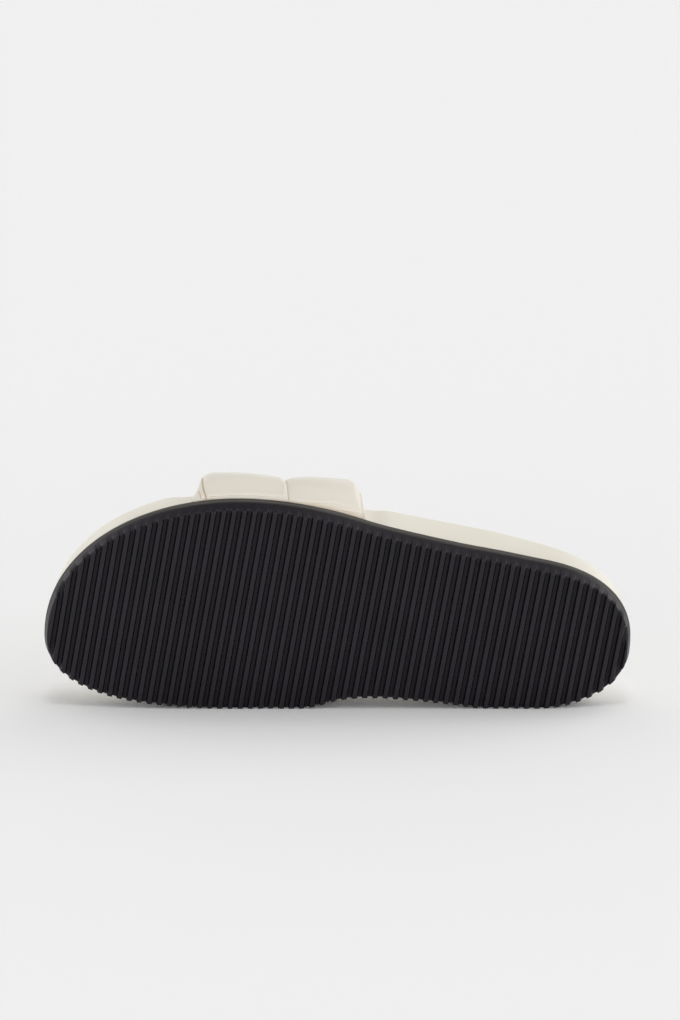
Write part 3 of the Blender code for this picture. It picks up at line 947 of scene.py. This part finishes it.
def rubber_material(row):
    """Moulded rubber with a fine matt texture."""
    material, shader, add, link = new_material(row.name)
    place = add("ShaderNodeTexCoord").outputs["Object"]
    clouds = {"Vector": place, "Scale": RUBBER_CLOUDS_PER_METRE, "Detail": 4.0}
    cloudy = add("ShaderNodeTexNoise", clouds).outputs["Fac"]
    link(tone_range(add, cloudy, row.dark, row.light), shader.inputs["Base Color"])
    low, high = RUBBER_ROUGHNESS
    gloss = add("ShaderNodeMapRange", {"Value": cloudy, "To Min": low, "To Max": high})
    link(gloss.outputs["Result"], shader.inputs["Roughness"])
    shader.inputs["Specular IOR Level"].default_value = row.shine
    texture = {"Vector": place, "Scale": RUBBER_TEXTURE_PER_METRE, "Detail": 3.0}
    fine = add("ShaderNodeTexNoise", texture).outputs["Fac"]
    bump = add("ShaderNodeBump", {"Height": fine, "Strength": 0.25, "Distance": RUBBER_TEXTURE_DEPTH})
    link(bump.outputs["Normal"], shader.inputs["Normal"])
    return material


def leather_grain(add, place, grain):
    """Heights of a pebbled grain: cells of an uneven net, with fine pores in them."""
    warp = add("ShaderNodeTexNoise", {"Vector": place, "Scale": WARPS_PER_GRAIN / grain, "Detail": 2.0})
    reach = (WARP_REACH_IN_GRAINS * grain,) * 3
    bent = add("ShaderNodeVectorMath", {0: warp.outputs["Color"], 1: reach}, operation="MULTIPLY")
    moved = add("ShaderNodeVectorMath", {0: place, 1: bent.outputs["Vector"]})
    net = {"Vector": moved.outputs["Vector"], "Scale": 1 / grain}
    cells = add("ShaderNodeTexVoronoi", net, feature="SMOOTH_F1")
    pores = add("ShaderNodeTexNoise", {"Vector": place, "Scale": PORES_PER_GRAIN / grain, "Detail": 2.0})
    factors = {0: cells.outputs["Distance"], 1: pores.outputs["Fac"]}
    return add("ShaderNodeMath", factors, operation="MULTIPLY").outputs["Value"]


def crease_shaded(add, tone):
    """A tone that changes to a painted shade, darker and tan, where the surface is drawn in."""
    drawn = add("ShaderNodeAttribute", attribute_name=CREASE_NAME).outputs["Fac"]
    ends = {"Value": drawn, "From Min": CREASE_SHADE_START, "From Max": CREASE_SHADE_FULL}
    depth = add("ShaderNodeMapRange", ends).outputs["Result"]
    mixed = add("ShaderNodeMix", {"Factor": depth, "A": tone, "B": (*CREASE_SHADE_TONE, 1.0)}, data_type="RGBA")
    return mixed.outputs["Result"]


def leather_material(row, shade_creases=False):
    """Coated synthetic leather with a fine grain, a soft gloss and, where asked, painted shade in its
    creases.
    """
    material, shader, add, link = new_material(row.name)
    place = add("ShaderNodeTexCoord").outputs["Object"]
    clouds = {"Vector": place, "Scale": LEATHER_CLOUDS_PER_METRE, "Detail": 5.0}
    cloudy = add("ShaderNodeTexNoise", clouds).outputs["Fac"]
    tone = tone_range(add, cloudy, row.dark, row.light)
    link(crease_shaded(add, tone) if shade_creases else tone, shader.inputs["Base Color"])
    relief = leather_grain(add, place, row.grain_size * MM)
    depth = {"Height": relief, "Strength": 0.5, "Distance": row.grain_depth * MM}
    bump = add("ShaderNodeBump", depth, invert=True)
    link(bump.outputs["Normal"], shader.inputs["Normal"])
    low = row.roughness - LEATHER_SMOOTHER
    high = row.roughness + LEATHER_ROUGHER
    gloss = add("ShaderNodeMapRange", {"Value": cloudy, "To Min": low, "To Max": high})
    link(gloss.outputs["Result"], shader.inputs["Roughness"])
    return material


# Stage, light and camera

# A sun's strength is its share of the floor's light when overhead, and its spread is in degrees
SunRow = namedtuple("SunRow", "name towards strength spread")
SUNS = [
    SunRow("overhead", (0.0, 0.0, 1.0), 0.072, 20),
    SunRow("front", (0.0, -0.26, 0.97), 0.072, 10),
    SunRow("right", (1.0, 0.0, 1.1), 0.385, 75),
    SunRow("left", (-1.0, 0.0, 1.1), 0.196, 75),
]

# The studio's walls get darker from front to back, between two directions, and then dim to the ceiling
WALL_FRONT_STRENGTH = 1.79
WALL_BACK_STRENGTH = 1.26
WALL_FRONT_END = -0.3
WALL_BACK_START = 0.3
WALL_TOP = 0.26
CEILING_START = 0.5
CEILING_STRENGTH = 0.134


def make_floor():
    """A wide pale floor without gloss."""
    reach = 12.0
    mesh = bpy.data.meshes.new("floor")
    corners = [(-reach, -reach, 0), (reach, -reach, 0), (reach, reach, 0), (-reach, reach, 0)]
    mesh.from_pydata(corners, [], [(0, 1, 2, 3)])
    floor = bpy.data.objects.new("floor", mesh)
    bpy.context.scene.collection.objects.link(floor)
    material, shader, _, _ = new_material("pale_floor")
    shader.inputs["Base Color"].default_value = (0.96, 0.96, 0.96, 1.0)
    shader.inputs["Roughness"].default_value = 0.9
    shader.inputs["Specular IOR Level"].default_value = 0.0
    mesh.materials.append(material)


def make_suns():
    """Soft distant lights, each shining from its direction."""
    for row in SUNS:
        lamp = bpy.data.lights.new(row.name, "SUN")
        lamp.energy = row.strength * math.pi
        lamp.angle = math.radians(row.spread)
        sun = bpy.data.objects.new(row.name, lamp)
        sun.rotation_euler = Vector(row.towards).to_track_quat("Z", "Y").to_euler()
        bpy.context.scene.collection.objects.link(sun)


def make_world():
    """Pale walls around a studio floor, brighter in front, under a dim ceiling."""
    world = bpy.data.worlds.new("studio")
    bpy.context.scene.world = world
    world.use_nodes = True
    tree = world.node_tree
    add = node_adder(tree)
    direction = add("ShaderNodeTexCoord").outputs["Generated"]
    parts = add("ShaderNodeSeparateXYZ", {"Vector": direction}).outputs

    def graded(axis, start, end, first, last):
        """A value that goes from first to last along an axis of the direction."""
        ends = {"Value": parts[axis], "From Min": start, "From Max": end, "To Min": first, "To Max": last}
        return add("ShaderNodeMapRange", ends, interpolation_type="SMOOTHSTEP").outputs["Result"]

    walls = graded("Y", WALL_FRONT_END, WALL_BACK_START, WALL_FRONT_STRENGTH, WALL_BACK_STRENGTH)
    strength = graded("Z", WALL_TOP, CEILING_START, walls, CEILING_STRENGTH)
    sky = tree.nodes["Background"]
    sky.inputs["Color"].default_value = (1.0, 1.0, 1.0, 1.0)
    tree.links.new(strength, sky.inputs["Strength"])


def make_camera():
    """The photograph's view: from above the tread's side, far away through a long lens."""
    elevation = math.radians(18.5)
    distance = 3.196
    aim = Vector((0.00113, -0.04407, 0.09737))
    back = Vector((0.0, -math.cos(elevation), math.sin(elevation)))
    lens = bpy.data.cameras.new("photo_camera")
    lens.lens = 258
    lens.sensor_width = 36
    lens.clip_end = 50
    camera = bpy.data.objects.new("photo_camera", lens)
    camera.location = aim + back * distance
    camera.rotation_euler = back.to_track_quat("Z", "Y").to_euler()
    bpy.context.scene.collection.objects.link(camera)
    bpy.context.scene.camera = camera


def main():
    bpy.context.scene.view_settings.view_transform = "Standard"
    make_camera()
    make_world()
    make_suns()
    make_floor()

    rubbers = [rubber_material(row) for row in OUTSOLE_RUBBERS]
    make_piece(outsole_shell(), "outsole_rubber", rubbers, "outsole")
    bed, bed_faces = footbed_shell()
    make_piece(bed, "footbed_wrap", [leather_material(WRAP)], "footbed")
    sock = sock_shell(np.vstack(bed.points), bed_faces)
    make_piece(sock, "insole_sock", [leather_material(SOCK)], "insole")
    padded, drawn_in = strap_shell()
    # The padding's creases and sewn lines get painted shade
    covers = [leather_material(PADDING, shade_creases=True), leather_material(LINING)]
    strap = make_piece(padded, "strap_padding", covers, "upper_strap")
    # How far each point is drawn in, which sets the painted shade in the creases
    strap.data.attributes.new(CREASE_NAME, "FLOAT", "POINT").data.foreach_set("value", drawn_in)


main()
